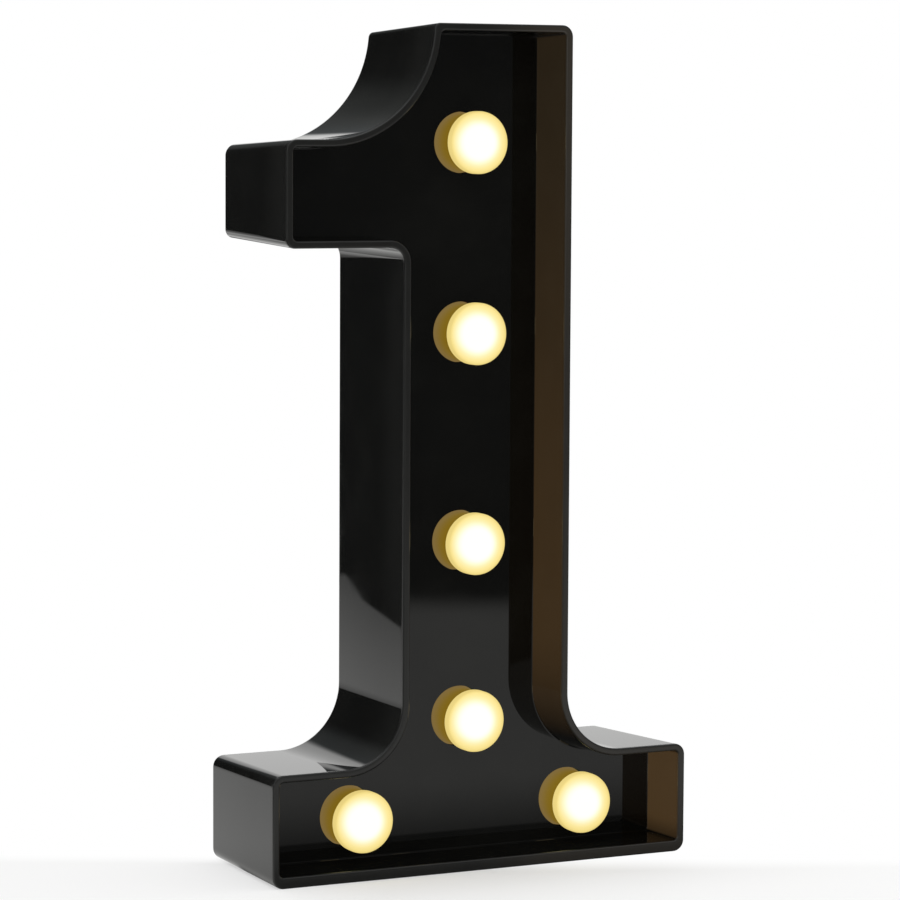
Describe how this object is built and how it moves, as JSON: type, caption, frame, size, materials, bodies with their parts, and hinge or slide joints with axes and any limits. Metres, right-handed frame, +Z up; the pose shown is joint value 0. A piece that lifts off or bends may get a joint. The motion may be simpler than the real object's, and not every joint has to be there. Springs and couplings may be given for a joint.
{
  "type": "marquee numeral light",
  "caption": "Free-standing battery marquee light in the form of the numeral one: drafted plastic housing, open front tray with capped bulbs, back cover with battery door and switch.",
  "frame": {"origin": "middle of the foot's underside, half way through the depth", "axes": "+Z up along the numeral, -Y towards the viewer of the lit front, +X to the viewer's right"},
  "size_m": [0.1204, 0.043, 0.22],
  "materials": {
    "gloss_black": "high gloss moulded",
    "satin_black": "satin moulded",
    "switch_black": "matt moulded",
    "frosted_cap": "frosted, lit from inside",
    "lamp_warm": "clear epoxy, lit",
    "board_green": "solder mask",
    "zinc_screw": "zinc plated",
    "nickel_contact": "nickel plated",
    "cell_wrap": "printed wrap, plain",
    "resistor_tan": "lacquer",
    "wire_red": "insulation",
    "wire_black": "insulation"
  },
  "bodies": {
    "housing": {"front_housing": "gloss_black", "back_cover": "satin_black", "switch_body": "switch_black", "bulb_cap_1": "frosted_cap", "bulb_cap_2": "frosted_cap", "bulb_cap_3": "frosted_cap", "bulb_cap_4": "frosted_cap", "bulb_cap_5": "frosted_cap", "bulb_cap_6": "frosted_cap", "led_1": "lamp_warm", "led_2": "lamp_warm", "led_3": "lamp_warm", "led_4": "lamp_warm", "led_5": "lamp_warm", "led_6": "lamp_warm", "led_board_1": "board_green", "led_board_2": "board_green", "led_board_3": "board_green", "led_board_4": "board_green", "led_board_5": "board_green", "led_board_6": "board_green", "cover_screw_1": "zinc_screw", "cover_screw_2": "zinc_screw", "cover_screw_3": "zinc_screw", "cover_screw_4": "zinc_screw", "cover_screw_5": "zinc_screw", "cover_screw_6": "zinc_screw", "switch_screw_1": "zinc_screw", "switch_screw_2": "zinc_screw", "contact_positive": "nickel_contact", "contact_negative": "nickel_contact", "contact_bridge": "nickel_contact", "contact_spring_1": "nickel_contact", "contact_spring_2": "nickel_contact", "cell_1": "cell_wrap", "cell_2": "cell_wrap", "resistor": "resistor_tan", "feed_red_bay": "wire_red", "feed_red_boards": "wire_red", "feed_black_bay": "wire_black", "link_red_1_2": "wire_red", "link_red_2_3": "wire_red", "link_red_3_4": "wire_red", "link_red_4_5": "wire_red", "link_red_4_6": "wire_red", "link_black_1_2": "wire_black", "link_black_2_3": "wire_black", "link_black_3_4": "wire_black", "link_black_4_5": "wire_black", "link_black_4_6": "wire_black"},
    "door": {"battery_door": "satin_black"},
    "knob": {"switch_knob": "switch_black"}
  },
  "joints": [
    {"name": "door_hinge", "type": "hinge", "parent": "housing", "child": "door", "pos_m": [0.0004, 0.0215, 0.08015], "axis": [-1, 0, 0], "range_deg": [0, 80]},
    {"name": "switch_slide", "type": "slide", "parent": "housing", "child": "knob", "axis": [1, 0, 0], "range_m": [0, 0.003]}
  ]
}
